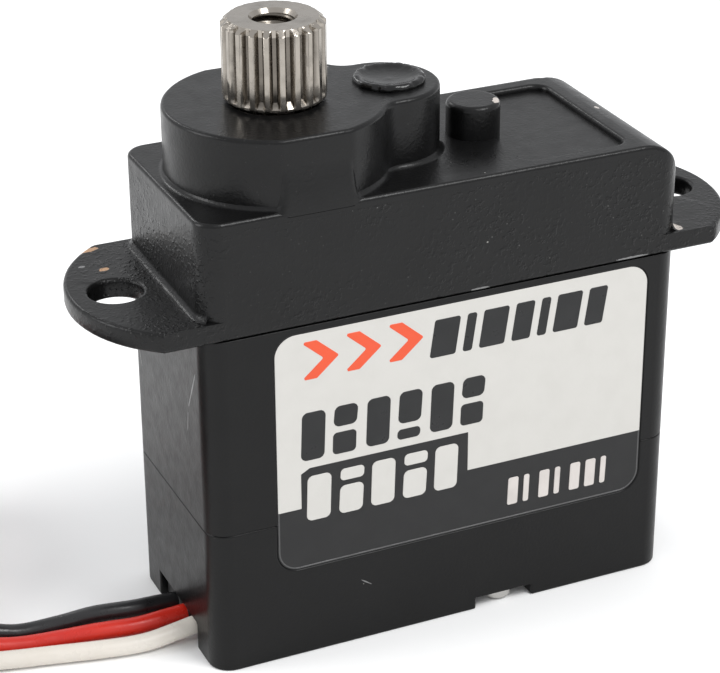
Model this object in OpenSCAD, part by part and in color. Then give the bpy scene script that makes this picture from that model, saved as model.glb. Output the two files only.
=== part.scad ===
// Micro servo motor: a three-part case, a five-stage metal gear train, a coreless motor,
// a feedback potentiometer, a circuit board and a three-wire lead with its connector.
// X runs along the case, Y across it and Z up the output shaft. The origin is under the middle
// of the case, on the surface that the servo stands on.

/* [Case] */
// Length of the case without its ears
case_l = 24.5; // [24:0.1:26]
// Width of the case
case_w = 10.4; // [10.4:0.1:11]
// Radius of the case's vertical edges
case_r = 1.1; // [0.9:0.1:1.3]
// Thickness of the case's walls
wall = 0.75; // [0.6:0.05:0.8]
// Height of the seam between the bottom cover and the middle case
cover_z = 7.5; // [7:0.1:8.5]
// Height of the seam between the middle case and the upper case
seam_z = 17.6; // [17.6:0.1:17.8]
// Height of the upper case's deck
deck_z = 23.35; // [23.3:0.05:23.5]
// Height of the gear tower's top face
tower_z = 26.65; // [26.5:0.05:26.7]
// Radius that rounds the deck down at the end away from the shaft
end_r = 2.2; // [1.5:0.1:2.4]

/* [Mounting ears] */
// Length of each ear
ear_l = 4.5; // [4:0.1:5.5]
// Thickness of the ears
ear_t = 1.0; // [0.8:0.1:1.4]
// Radius of the ears' ends
ear_end_r = 6.45; // [5.5:0.05:8]
// Diameter of the hole in each ear
ear_hole_d = 2.5; // [2:0.1:2.7]
// Distance from the case's end face to the middle of the ear's hole
ear_hole_x = 2.3; // [2:0.1:2.6]

/* [Tower and deck] */
// Radius of the gear tower
tower_r = 5.21; // [5.15:0.01:5.25]
// Distance of the tower's flats from its middle, just inside the sides of the case
tower_flat = 4.97; // [4.9:0.01:5.1]
// Radius of the boss beside the tower
boss_r = 2.7; // [2.6:0.05:3]
// Radius that blends the tower into the boss
blend_r = 1.2; // [0.8:0.1:2]
// Radius of the post on the deck
post_r = 1.3; // [1.1:0.05:1.5]
// Height of the post's top
post_z = 25; // [24.5:0.05:25.2]
// Depth of the pocket in the deck
pocket_d = 0.3; // [0.2:0.05:0.35]

/* [Output shaft] */
// Number of teeth on the spline
spline_teeth = 21; // [15:1:25]
// Outer diameter of the spline
spline_d = 4.8; // [4.6:0.1:5]
// Height of the spline's top face
spline_z = 30.6; // [29.5:0.1:31]
// Diameter of the threaded hole for the horn screw
screw_hole_d = 1.7; // [1.6:0.05:1.8]
// Depth of the threaded hole
screw_hole_l = 6; // [4:0.5:7]

/* [Gears] */
// Teeth on the motor's pinion
pinion_teeth = 9; // [9:1:10]
// Teeth on the gear that the motor's pinion drives
first_teeth = 31; // [30:1:32]
// Teeth on the small half of each gear pair
small_teeth = 10; // [10:1:11]
// Teeth on the large half of each gear pair and on the output gear
large_teeth = 28; // [27:1:29]

/* [Lead] */
// Diameter of each wire
wire_d = 0.9; // [0.85:0.05:1.1]

/* [Hidden] */
$fn = 64;

// A hair of overlap that keeps cut faces from coinciding
eps = 0.01;
half_l = case_l / 2;
half_w = case_w / 2;
// Running clearance of a shaft in its bore
run = 0.03;

// Axes of the gear train, from the output shaft to the motor
shaft_x = 5.75 - half_l;
boss_x = shaft_x + 5.35;
post_x = boss_x + 4.75;
motor_x = post_x + 3.6;

// Levels in the gear chamber
ceiling_z = 22.5;
floor_t = 1;
plate_z = seam_z - floor_t;
tower_room_r = 4.45;
tower_room_z = 24;
boss_room_r = 1.95;
boss_room_z = 24.1;
bearing_r = 3.5;
bearing_z = 26;
ball_row_r = 2.75;
bush_r = 1.6;
motor_bush_r = 1.2;

// Fixed pins that the gear pairs turn on
pin_r = 0.5;
pin_foot_z = seam_z - 0.7;
boss_pin_z = 25.8;
post_pin_z = 24.2;
hub_r = 0.85;
hub_foot_z = seam_z + 0.15;

// Gear modules, which follow from the axes
first_m = 2 * (motor_x - post_x) / (pinion_teeth + first_teeth);
middle_m = 2 * (post_x - boss_x) / (small_teeth + large_teeth);
last_m = 2 * (boss_x - shaft_x) / (small_teeth + large_teeth);
first_gear_z = 18.2;
second_gear_z = 19.3;
third_gear_z = 20.4;
fourth_gear_z = 21.4;
output_gear_z = 22.5;
gear_t = 0.8;
output_gear_t = 1.2;

// Output shaft
journal_r = 2;
tail_r = 1;
tail_z = 13.6;
spline_base_z = 26.8;

// The output gear's stop tab hangs under it and meets a block at each end of its travel
stop_w = 1;
stop_z = 21.4;
stop_r = [2.4, 4];
block = [0.8, 1.6, 0.8];

// Cap over the end of the boss's pin
cap_x = boss_x + 0.35;
cap_r = 1.5;
cap_rim_r = 1.7;
cap_sink = 0.5;

// Screws: one pair at the middle of the sides and one pair in opposite corners
side_screw = [post_x - 0.45, half_w - 0.95];
corner_screw = [half_l - 1.45, half_w - 1.4];
side_screw_z = 20;
corner_screw_z = 22;
SCREWS = [
    [side_screw[0], -side_screw[1], side_screw_z],
    [side_screw[0], side_screw[1], side_screw_z],
    [-corner_screw[0], -corner_screw[1], corner_screw_z],
    [corner_screw[0], corner_screw[1], corner_screw_z]];
screw_r = 0.55;
screw_gap = 0.07;
head_r = 0.8;
head_z = 0.6;
head_h = 0.55;
head_edge = 0.25;
pillar_r = 0.95;

// Label on the front face
label_t = 0.15;
label_x = [-8.95, 10.6];
label_z = [4.8, 17.3];
label_r = 1.1;

// Motor
can_r = 4;
can_t = 0.3;
can_z = 5.2;
motor_cap_t = 0.8;
motor_shaft_r = 0.4;
magnet_z = 15.8;
motor_pin_y = 2.6;

// Potentiometer
pot_r = 3.6;
pot_z = 12.6;
pot_base_t = 0.5;
pot_room_r = 2.8;
pot_pin_y = [-2, 0, 2];

// Circuit board
board_z = 2.6;
board_t = 0.6;
pin_strip = [0.5, 0.2];
tail_x = -9;

// Wires leave through a slot at the foot of the case's end
slot_w = 5.2;
slot_h = 1.4;
cover_floor = 0.8;
grommet_x = -half_l + 0.35;
slot_end_x = half_l - 2.5;
wire_r = wire_d / 2;
lead_y = -0.55;
lead_gap = 1.2;
lead_z = 0.8;
bare_z = 1.1;
tail_wire_r = 0.28;

// Middle of the lead from the case to the coil: place, turn of the row of wires and its spacing.
// The row lies flat at 0 degrees and stands on edge, ground wire on top, at 90 degrees.
LEAD = [
    [grommet_x - 0.2, lead_y, lead_z, 0, lead_gap],
    [-13.3, -0.60, 0.78, 6, 1.20],
    [-14.7, -0.64, 0.76, 12, 1.20],
    [-16.6, -0.30, 0.74, 12, 1.20],
    [-18.5, 0.18, 0.53, 2, 1.20],
    [-20.5, 0.55, 0.49, 0, 1.12],
    [-22.4, 1.00, 0.80, 14, 1.12],
    [-24.4, 1.40, 1.35, 42, 1.12],
    [-26.3, 1.58, 1.85, 75, 1.12],
    [-28.0, 1.62, 2.00, 90, 1.12]];

// Coil that the rest of the lead is wound into, and the tail that climbs over it to the connector.
// The middle of the coil turns back on itself round two open loops, a little off its centre.
coil_x = -30;
coil_y = 9.1;
coil_r = 8.05;
loops_off = 0.5;
coil_lift = 0.3;
coil_h = 3.4;
loop_y = 2.3;
loop_room_r = 1.5;
TAIL = [
    [-26.49, 3.51, 2.05, 90, 1.12],
    [-23.76, 6.00, 3.30, 90, 1.12],
    [-22.60, 9.60, 4.70, 90, 1.12],
    [-22.75, 12.4, 5.45, 85, 1.12],
    [-23.9, 15.1, 5.45, 65, 1.14],
    [-26.6, 16.6, 5.30, 35, 1.20],
    [-29.4, 15.7, 5.10, 8, 1.35],
    [-30.7, 13.6, 5.00, 0, 1.80],
    [-31.0, 11.8, 5.00, 0, 2.45],
    [-31.0, 10.6, 5.00, 0, 2.54],
    [-31.0, 9.2, 5.00, 0, 2.54]];
tie_t = 0.3;
tie_w = 2;

// Three-way connector at the end of the lead, which lies on the coil with its wires' end towards +Y
connector = [7.62, 14, 2.5];
connector_x = -31;
connector_y = 10.4;
connector_z = 3.75;
pitch = 2.54;
cell_w = 1.5;
cell_y = 1.2;

// Flat outline of a rectangle with rounded corners
module rounded(l, w, r) {
    square([l - 2 * r, w], center = true);
    square([l, w - 2 * r], center = true);
    for (x = [-1, 1], y = [-1, 1]) translate([x * (l / 2 - r), y * (w / 2 - r)]) circle(r);
}

module case_block(z0, z1, inset = 0) {
    r = max(case_r - inset, 0.4);
    translate([0, 0, z0]) linear_extrude(z1 - z0) rounded(case_l - 2 * inset, case_w - 2 * inset, r);
}

// A straight round bar or hole between two heights
module rod(x, y, r, z0, z1) {
    translate([x, y, z0]) cylinder(r = r, h = z1 - z0);
}

// Outline of the tower and its boss, joined by hollow blends
module tower_outline() {
    gap = boss_x - shaft_x;
    to_tower = tower_r + blend_r;
    to_boss = boss_r + blend_r;
    bx = (gap * gap + to_tower * to_tower - to_boss * to_boss) / (2 * gap);
    by = sqrt(to_tower * to_tower - bx * bx);
    translate([shaft_x, 0]) {
        circle(tower_r);
        translate([gap, 0]) circle(boss_r);
        for (side = [-1, 1]) difference() {
            polygon([[0, 0], [bx, side * by], [gap, 0]]);
            translate([bx, side * by]) circle(blend_r);
        }
    }
}

module ear(side) {
    tip = half_l + ear_l;
    mirror([side < 0 ? 1 : 0, 0, 0]) translate([0, 0, seam_z]) difference() {
        linear_extrude(ear_t) intersection() {
            translate([half_l - 3, -half_w]) square([ear_l + 3, case_w]);
            translate([tip - ear_end_r, 0]) circle(ear_end_r);
        }
        translate([half_l + ear_hole_x, 0, -1]) cylinder(d = ear_hole_d, h = ear_t + 2);
    }
}

// Small hollow fillet where an ear meets the end of the upper case
module ear_fillet(side) {
    f = 0.35;
    x = half_l - case_r;
    y = half_w - case_r;
    mirror([side < 0 ? 1 : 0, 0, 0]) translate([0, 0, seam_z + ear_t]) {
        translate([half_l, y, 0]) rotate([90, 0, 0]) linear_extrude(2 * y) fillet_profile(f);
        for (turn = [0, 1]) mirror([0, turn, 0]) translate([x, y, 0])
            rotate_extrude(angle = 45) translate([case_r, 0]) fillet_profile(f);
    }
}

module fillet_profile(f) {
    difference() {
        translate([-0.1, -0.1]) square(f + 0.1);
        translate([f, f]) circle(f);
    }
}

// Everything above this profile's rounded end is cut from the upper case
module end_round_cut() {
    rotate([90, 0, 0]) linear_extrude(case_w + 2, center = true) difference() {
        translate([half_l - end_r, deck_z - end_r]) square(end_r + 1);
        translate([half_l - end_r, deck_z - end_r]) circle(end_r);
    }
}

module screw_pillars(z0, z1, side_top) {
    for (s = SCREWS) {
        top = abs(s[0]) > half_l / 2 ? z1 : side_top;
        rod(s[0], s[1], pillar_r, z0, top);
    }
}

module screw_holes(r, z0, z1) {
    for (s = SCREWS) rod(s[0], s[1], r, z0, min(z1, s[2]));
}

module label_shape(t) {
    w = label_x[1] - label_x[0];
    h = label_z[1] - label_z[0];
    translate([(label_x[0] + label_x[1]) / 2, -half_w + label_t, (label_z[0] + label_z[1]) / 2])
        rotate([90, 0, 0]) linear_extrude(t) rounded(w, h, label_r);
}

module upper_case() {
    pocket = [4.15, 9.6];
    color("#2b2b2c") difference() {
        union() {
            difference() {
                case_block(seam_z, deck_z);
                end_round_cut();
            }
            translate([0, 0, deck_z - 1]) linear_extrude(tower_z - deck_z + 1) intersection() {
                tower_outline();
                square([case_l, 2 * tower_flat], center = true);
            }
            translate([post_x, 0, deck_z - 1]) rotate_extrude() post_profile();
            for (side = [-1, 1]) ear(side);
            for (side = [-1, 1]) ear_fillet(side);
        }
        difference() {
            case_block(seam_z - 1, ceiling_z, wall);
            screw_pillars(seam_z - 2, ceiling_z + 1, side_screw_z + 0.2);
            for (side = [-1, 1])
                translate([shaft_x + stop_w / 2 + 0.1, side * 3.7 - block[1] / 2, stop_z]) cube(block);
        }
        rod(shaft_x, 0, tower_room_r, ceiling_z - eps, tower_room_z);
        rod(boss_x, 0, boss_room_r, ceiling_z - eps, boss_room_z);
        rod(shaft_x, 0, bearing_r, tower_room_z - eps, bearing_z);
        rod(shaft_x, 0, journal_r + 0.15, bearing_z - eps, tower_z + 1);
        rod(boss_x, 0, pin_r, boss_room_z - eps, boss_pin_z);
        rod(cap_x, 0, cap_r, tower_z - cap_sink, tower_z + 1);
        rod(post_x, 0, pin_r, ceiling_z - eps, post_pin_z);
        translate([(pocket[0] + pocket[1]) / 2, 0, deck_z - pocket_d]) linear_extrude(1) difference() {
            rounded(pocket[1] - pocket[0], case_w - 1.8, 0.7);
            translate([post_x - (pocket[0] + pocket[1]) / 2, 0]) circle(post_r);
        }
        screw_holes(screw_r, seam_z - 1, 30);
    }
}

module post_profile() {
    edge = 0.25;
    top = post_z - deck_z + 1;
    square([post_r, top - edge]);
    square([post_r - edge, top]);
    translate([post_r - edge, top - edge]) circle(edge);
}

module middle_case() {
    color("#2b2b2c") difference() {
        case_block(cover_z, seam_z);
        difference() {
            case_block(cover_z - 1, plate_z, wall);
            screw_pillars(cover_z - 2, plate_z + 1, plate_z + 1);
        }
        rod(shaft_x, 0, bush_r, plate_z - 1, seam_z + 1);
        rod(boss_x, 0, pin_r, pin_foot_z, seam_z + 1);
        rod(post_x, 0, pin_r, pin_foot_z, seam_z + 1);
        rod(motor_x, 0, motor_bush_r, plate_z - 1, seam_z + 1);
        screw_holes(screw_r + screw_gap, cover_z - 1, seam_z + 1);
        label_shape(1);
    }
}

module bottom_cover() {
    notch_w = 3.1;
    notch_d = 2.1;
    color("#2b2b2c") difference() {
        case_block(0, cover_z);
        difference() {
            case_block(cover_floor, cover_z + 1, wall);
            screw_pillars(0, cover_z + 2, cover_z + 2);
        }
        translate([-half_l - 1, -slot_w / 2, -1]) cube([half_l + 1 - slot_end_x, slot_w, slot_h + 1]);
        for (turn = [0, 1]) mirror([0, turn, 0])
            translate([side_screw[0] - notch_w / 2, half_w - notch_d, -1])
                cube([notch_w, notch_d + 1, head_z + 1]);
        screw_holes(head_r + 0.1, -1, head_z);
        screw_holes(screw_r + screw_gap, -1, cover_z + 1);
        label_shape(1);
    }
}

module label() {
    color("#e3e1da") label_shape(label_t);
}

// Round cap with a raised rim and a dished top
module gear_shaft_cap() {
    edge = 0.15;
    dish_r = 3.9;
    rim_z = cap_sink + 2 * edge;
    color("#222223") translate([cap_x, 0, tower_z - cap_sink]) rotate_extrude() difference() {
        union() {
            square([cap_r, cap_sink]);
            translate([0, cap_sink]) square([cap_rim_r - edge, 2 * edge]);
            translate([cap_rim_r - edge, cap_sink + edge]) circle(edge);
        }
        translate([0, rim_z + dish_r - 0.26]) circle(dish_r);
    }
}

module case_screws() {
    color("#c9c8c4") for (s = SCREWS) {
        rod(s[0], s[1], screw_r, head_z - eps, s[2]);
        translate([s[0], s[1], head_z]) mirror([0, 0, 1]) rotate_extrude() difference() {
            union() {
                square([head_r, head_h - head_edge]);
                square([head_r - head_edge, head_h]);
                translate([head_r - head_edge, head_h - head_edge]) circle(head_edge);
            }
            translate([-1, 0.3]) square([1.35, 1]);
        }
    }
}

// Involute angle in degrees, and half of a tooth's angle at radius r
function inv(a) = tan(a) * 180 / PI - a;
function half_tooth(r, rb, half) = half + inv(20) - inv(acos(min(1, rb / r)));

// One gear outline: m is the module, turn the angle of its first tooth and tip its height in modules
function tooth_points(teeth, m, tip) =
    let (rp = m * teeth / 2, rb = rp * cos(20), ra = rp + tip * m, rf = rp - 1.15 * m)
    let (half = 90 / teeth - 0.1 * m / rp * 180 / PI, rs = max(rb, rf), rm = (rs + ra) / 2)
    let (foot = half_tooth(rs, rb, half), waist = half_tooth(rm, rb, half), top = half_tooth(ra, rb, half))
    [[rf, -foot], [rs, -foot], [rm, -waist], [ra, -top], [ra, top], [rm, waist], [rs, foot], [rf, foot]];

module gear_outline(teeth, m, turn, tip) {
    tooth = tooth_points(teeth, m, tip);
    polygon([for (k = [0:teeth - 1], p = tooth)
        let (a = turn + k * 360 / teeth + p[1]) p[0] * [cos(a), sin(a)]]);
}

module gear(x, z0, t, teeth, m, turn, tip = 1) {
    translate([x, 0, z0]) linear_extrude(t) gear_outline(teeth, m, turn, tip);
}

// A large and a small gear in one piece, on a hub that turns on its pin
module gear_pair(x, z0, small_m, small_turn, small_t, large_n, large_m, large_turn, hub_z) {
    difference() {
        union() {
            gear(x, z0, gear_t, large_n, large_m, large_turn, 0.8);
            gear(x, z0 + gear_t - eps, small_t + eps, small_teeth, small_m, small_turn);
            rod(x, 0, hub_r, hub_z, z0 + eps);
        }
        rod(x, 0, pin_r + run, hub_z - 1, z0 + 5);
    }
}

module first_gear() {
    color("#c8a24a") gear_pair(post_x, first_gear_z, middle_m, 180, 1.25, first_teeth, first_m,
        180 / first_teeth, hub_foot_z);
}

module second_gear() {
    color("#c8a24a") gear_pair(boss_x, second_gear_z, middle_m, 0, 1.15, large_teeth, middle_m,
        180 / large_teeth, hub_foot_z);
}

module third_gear() {
    color("#c8a24a") gear_pair(post_x, third_gear_z, middle_m, 180, 1.1, large_teeth, middle_m,
        180 + 180 / large_teeth, third_gear_z - eps);
}

module fourth_gear() {
    color("#b9babb") gear_pair(boss_x, fourth_gear_z, last_m, 180, 1.7, large_teeth, middle_m,
        180 / large_teeth, fourth_gear_z - eps);
}

module output_gear() {
    color("#c8a24a") difference() {
        union() {
            gear(shaft_x, output_gear_z, output_gear_t, large_teeth, last_m, 180 / large_teeth, 0.8);
            translate([shaft_x - stop_r[1], -stop_w / 2, stop_z])
                cube([stop_r[1] - stop_r[0], stop_w, output_gear_z - stop_z + eps]);
        }
        rod(shaft_x, 0, journal_r, output_gear_z - 2, output_gear_z + 2);
    }
}

// Each tooth is a corner list of radius and share of the pitch
module spline_outline() {
    tip = spline_d / 2;
    root = tip - 0.32;
    tooth = [[root, -0.34], [tip, -0.2], [tip, 0.2], [root, 0.34]];
    polygon([for (k = [0:spline_teeth - 1], p = tooth)
        let (a = (k + p[1]) * 360 / spline_teeth) p[0] * [cos(a), sin(a)]]);
}

module output_shaft() {
    r = spline_d / 2;
    edge = 0.28;
    bevel = 0.25;
    length = spline_z - spline_base_z;
    color("#b3aea5") translate([shaft_x, 0, 0]) difference() {
        union() {
            translate([0, 0, spline_base_z]) intersection() {
                linear_extrude(length) spline_outline();
                rotate_extrude() polygon([[0, 0], [r - edge, 0], [r, edge], [r, length - edge],
                    [r - edge, length], [0, length]]);
            }
            rod(0, 0, journal_r, output_gear_z, spline_base_z + eps);
            rod(0, 0, tail_r, tail_z, output_gear_z + eps);
        }
        rod(0, 0, screw_hole_d / 2, spline_z - screw_hole_l, spline_z + 1);
        translate([0, 0, spline_z - bevel])
            cylinder(r1 = screw_hole_d / 2, r2 = screw_hole_d / 2 + bevel + eps, h = bevel + eps);
    }
}

// Ball bearing under the tower's top: both rings have a round groove for the balls
module bearing_ring(r0, r1) {
    middle = (tower_room_z + bearing_z) / 2;
    translate([shaft_x, 0, 0]) rotate_extrude() difference() {
        translate([r0, tower_room_z]) square([r1 - r0, bearing_z - tower_room_z]);
        translate([ball_row_r, middle]) circle(0.42);
    }
}

module bearing_outer_ring() {
    color("#c4c6c8") bearing_ring(3.05, bearing_r);
}

module bearing_inner_ring() {
    color("#c4c6c8") bearing_ring(journal_r, 2.45);
}

module bearing_balls() {
    color("#d8dadc") translate([shaft_x, 0, (tower_room_z + bearing_z) / 2])
        for (k = [0:8]) rotate([0, 0, k * 40]) translate([ball_row_r, 0, 0]) sphere(0.38);
}

module lower_bushing() {
    color("#b98a3e") difference() {
        rod(shaft_x, 0, bush_r, plate_z, seam_z);
        rod(shaft_x, 0, tail_r + run, plate_z - 1, seam_z + 1);
    }
}

module boss_shaft_pin() {
    color("#c4c6c8") rod(boss_x, 0, pin_r, pin_foot_z, boss_pin_z);
}

module post_shaft_pin() {
    color("#c4c6c8") rod(post_x, 0, pin_r, pin_foot_z, post_pin_z);
}

module motor_pinion() {
    color("#c8a24a") difference() {
        gear(motor_x, 18, 1.3, pinion_teeth, first_m, 180);
        rod(motor_x, 0, motor_shaft_r, 17, 20);
    }
}

module motor_shaft() {
    color("#c4c6c8") rod(motor_x, 0, motor_shaft_r, 4.9, 19.4);
}

module motor_winding() {
    color("#a8642f") difference() {
        rod(motor_x, 0, 3.1, 5.8, 15.4);
        rod(motor_x, 0, 2.55, 6.3, 16);
        rod(motor_x, 0, motor_shaft_r, 5, 7);
    }
}

module motor_magnet() {
    color("#7a7c80") difference() {
        rod(motor_x, 0, 2.2, 6.7, plate_z - can_t);
        rod(motor_x, 0, 0.7, 6, magnet_z);
        rod(motor_x, 0, motor_bush_r, magnet_z, plate_z);
    }
}

module motor_can() {
    color("#b6b8ba") difference() {
        rod(motor_x, 0, can_r, can_z, plate_z);
        rod(motor_x, 0, can_r - can_t, can_z - 1, plate_z - can_t);
        rod(motor_x, 0, motor_bush_r, plate_z - 1, plate_z + 1);
    }
}

module motor_bushing() {
    color("#b98a3e") difference() {
        rod(motor_x, 0, motor_bush_r, magnet_z, seam_z);
        rod(motor_x, 0, motor_shaft_r + run, magnet_z - 1, seam_z + 1);
    }
}

module motor_end_cap() {
    color("#303236") difference() {
        union() {
            rod(motor_x, 0, can_r, can_z - motor_cap_t, can_z);
            rod(motor_x, 0, can_r - can_t, can_z - eps, can_z + 0.4);
        }
        rod(motor_x, 0, motor_shaft_r + run, can_z - 0.4, can_z + 1);
    }
}

// Flat pin from just under the circuit board up to a part, and the hole for it in the board
module terminal(x, y, top, gap = 0, foot = board_z - 0.2) {
    w = pin_strip[0] + gap;
    t = pin_strip[1] + gap;
    translate([x - w / 2, y - t / 2, foot]) cube([w, t, top - foot]);
}

module motor_terminals() {
    color("#c9a64d") for (side = [-1, 1]) terminal(motor_x, side * motor_pin_y, can_z - motor_cap_t);
}

module pot_case() {
    color("#3a3d44") difference() {
        rod(shaft_x, 0, pot_r, pot_z + pot_base_t, plate_z);
        rod(shaft_x, 0, pot_room_r, pot_z, plate_z - 0.7);
        rod(shaft_x, 0, tail_r + 0.3, plate_z - 1, plate_z + 1);
    }
}

module pot_base() {
    color("#8a5a33") rod(shaft_x, 0, pot_r, pot_z, pot_z + pot_base_t);
}

module pot_rotor() {
    color("#d9d6cc") difference() {
        rod(shaft_x, 0, pot_room_r - 0.3, tail_z - 0.2, plate_z - 1);
        rod(shaft_x, 0, tail_r, tail_z, 17);
    }
}

module pot_terminals() {
    color("#c9cbcc") for (y = pot_pin_y) terminal(shaft_x, y, pot_z);
}

module circuit_board() {
    edge = wall + 0.15;
    color("#1f5b3a") difference() {
        translate([0, 0, board_z]) linear_extrude(board_t) rounded(case_l - 2 * edge, case_w - 2 * edge, 0.4);
        for (s = SCREWS) rod(s[0], s[1], pillar_r + 0.15, board_z - 1, board_z + 2);
        for (side = [-1, 1]) terminal(motor_x, side * motor_pin_y, board_z + 2, 0.1, board_z - 1);
        for (y = pot_pin_y) terminal(shaft_x, y, board_z + 2, 0.1, board_z - 1);
        for (k = [-1:1]) rod(tail_x, lead_y + k * lead_gap, tail_wire_r, board_z - 1, board_z + 2);
    }
}

module chip(x, y, size) {
    translate([x - size[0] / 2, y - size[1] / 2, board_z + board_t]) cube(size);
}

module control_chip() {
    color("#1d1e20") chip(-3.6, 0, [3, 3, 0.8]);
}

module driver_chips() {
    color("#1d1e20") for (y = [-2.2, 2.2]) chip(0.2, y, [2, 2, 0.7]);
}

module capacitors() {
    color("#c79b54") {
        chip(0.2, 0, [1.6, 0.8, 0.8]);
        chip(-9.6, 2.9, [1.6, 0.8, 0.8]);
    }
}

// Bare ends of the three wires, bent up into the circuit board
module lead_tails() {
    color("#c9cbcc") for (k = [-1:1]) {
        y = lead_y + k * lead_gap;
        translate([-slot_end_x, y, bare_z]) rotate([0, 90, 0]) cylinder(r = tail_wire_r, h = tail_x + slot_end_x);
        translate([tail_x, y, bare_z]) sphere(tail_wire_r);
        rod(tail_x, y, tail_wire_r, bare_z, board_z + board_t + 0.2);
    }
}

module wire_grommet() {
    color("#1c1c1d") translate([grommet_x, -slot_w / 2 + 0.05, 0.15])
        cube([-slot_end_x - grommet_x, slot_w - 0.1, slot_h - 0.15]);
}

// Place of wire k along a route: the row is turned about the lead's own direction
function along(path, i) = let (a = path[max(0, i - 1)], b = path[min(len(path) - 1, i + 1)])
    let (d = [b[0] - a[0], b[1] - a[1]]) d / norm(d);
function wire_point(path, i, k) = let (p = path[i], d = along(path, i), s = k * p[4])
    [p[0] + d[1] * s * cos(p[3]), p[1] - d[0] * s * cos(p[3]), p[2] + s * sin(p[3])];
function unit(v) = v / norm(v);

// Round tube swept along points
module tube(points, r, sides = 8) {
    n = len(points);
    rings = [for (i = [0:n - 1])
        let (d = unit(points[min(n - 1, i + 1)] - points[max(0, i - 1)]))
        let (side = unit([-d[1], d[0], 0]), up = cross(d, side))
        [for (j = [0:sides - 1]) points[i] + r * (cos(j * 360 / sides) * side + sin(j * 360 / sides) * up)]];
    faces = [for (i = [0:n - 2], j = [0:sides - 1]) let (k = (j + 1) % sides)
        [i * sides + j, i * sides + k, (i + 1) * sides + k, (i + 1) * sides + j]];
    polyhedron(points = [for (ring = rings, p = ring) p],
        faces = concat([[for (j = [sides - 1:-1:0]) j]], faces, [[for (j = [0:sides - 1]) (n - 1) * sides + j]]));
}

module wire(k) {
    for (path = [LEAD, TAIL]) tube([for (i = [0:len(path) - 1]) wire_point(path, i, k)], wire_r);
}

module ground_wire() {
    color("#202022") wire(1);
}

module power_wire() {
    color("#c8281e") wire(0);
}

module signal_wire() {
    color("#e8e4da") wire(-1);
}

module lead_coil() {
    color("#55504c") difference() {
        rod(coil_x, coil_y, coil_r, coil_lift, coil_lift + coil_h);
        for (side = [-1, 1])
            rod(coil_x, coil_y + loops_off + side * loop_y, loop_room_r, 0, coil_lift + coil_h + 1);
    }
}

// Tie round one side of the coil: a flat band through one of its open loops and over its rim
module lead_tie() {
    loop = loops_off + loop_y;
    reach = coil_r - loop + 0.1;
    color("#26262a") translate([coil_x - tie_w / 2, coil_y + loop, 0]) difference() {
        cube([tie_w, reach + tie_t, coil_lift + coil_h + tie_t]);
        translate([-1, tie_t, coil_lift]) cube([tie_w + 2, reach - tie_t, coil_h]);
    }
}

module connector_housing() {
    middle = connector[2] / 2;
    color("#1e1e20") translate([connector_x, connector_y, connector_z]) rotate([0, 0, 180]) difference() {
        translate([-connector[0] / 2, 0, 0]) cube(connector);
        for (k = [-1:1]) translate([k * pitch, 0, middle]) {
            translate([-cell_w / 2, cell_y, -cell_w / 2]) cube([cell_w, connector[1], cell_w]);
            translate([0, -1, 0]) rotate([-90, 0, 0]) cylinder(r = wire_r, h = cell_y + 2);
            translate([-0.55, 6, 0]) cube([1.1, 2.4, connector[2]]);
        }
    }
}

module connector_contacts() {
    w = cell_w - 0.1;
    bore = 0.7;
    contact_y = 2;
    color("#d2ab48") translate([connector_x, connector_y, connector_z]) rotate([0, 0, 180])
        for (k = [-1:1]) translate([k * pitch, contact_y, connector[2] / 2]) difference() {
            translate([-w / 2, 0, -w / 2]) cube([w, 11, w]);
            translate([-bore / 2, 3, -bore / 2]) cube([bore, 10, bore]);
        }
}

upper_case();
middle_case();
bottom_cover();
label();
gear_shaft_cap();
case_screws();
output_shaft();
output_gear();
bearing_outer_ring();
bearing_inner_ring();
bearing_balls();
lower_bushing();
boss_shaft_pin();
post_shaft_pin();
first_gear();
second_gear();
third_gear();
fourth_gear();
motor_pinion();
motor_shaft();
motor_winding();
motor_magnet();
motor_can();
motor_bushing();
motor_end_cap();
motor_terminals();
pot_case();
pot_base();
pot_rotor();
pot_terminals();
circuit_board();
control_chip();
driver_chips();
capacitors();
lead_tails();
wire_grommet();
ground_wire();
power_wire();
signal_wire();
lead_coil();
lead_tie();
connector_housing();
connector_contacts();
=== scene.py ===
"""Looks of a slim micro servo motor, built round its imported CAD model.

Lengths in this script are in millimetres until a mesh is made: piece() and cord() turn them into metres.
"""

import math

import bmesh
import bpy
from mathutils import Matrix, Vector, noise


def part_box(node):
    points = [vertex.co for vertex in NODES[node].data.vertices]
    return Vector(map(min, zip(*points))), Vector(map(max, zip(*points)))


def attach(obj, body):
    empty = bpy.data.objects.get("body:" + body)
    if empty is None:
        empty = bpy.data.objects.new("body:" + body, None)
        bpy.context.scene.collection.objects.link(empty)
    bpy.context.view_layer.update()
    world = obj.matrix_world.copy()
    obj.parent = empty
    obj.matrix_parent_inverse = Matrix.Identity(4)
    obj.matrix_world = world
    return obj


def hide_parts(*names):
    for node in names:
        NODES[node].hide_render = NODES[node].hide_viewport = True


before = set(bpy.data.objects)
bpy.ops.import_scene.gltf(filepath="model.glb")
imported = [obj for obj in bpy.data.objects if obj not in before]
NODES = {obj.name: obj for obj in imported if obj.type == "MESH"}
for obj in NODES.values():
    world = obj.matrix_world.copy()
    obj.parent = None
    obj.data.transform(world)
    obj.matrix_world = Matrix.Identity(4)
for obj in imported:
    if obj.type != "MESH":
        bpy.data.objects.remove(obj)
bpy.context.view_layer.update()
SCENE = bpy.context.scene
MM = 0.001


def box(node):
    """Lowest and highest corner of a CAD node, in millimetres."""
    return tuple(Vector(corner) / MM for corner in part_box(node))


def middle(node):
    lo, hi = box(node)
    return (lo + hi) / 2


# ---------------------------------------------------------------- camera, floor and light

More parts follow.
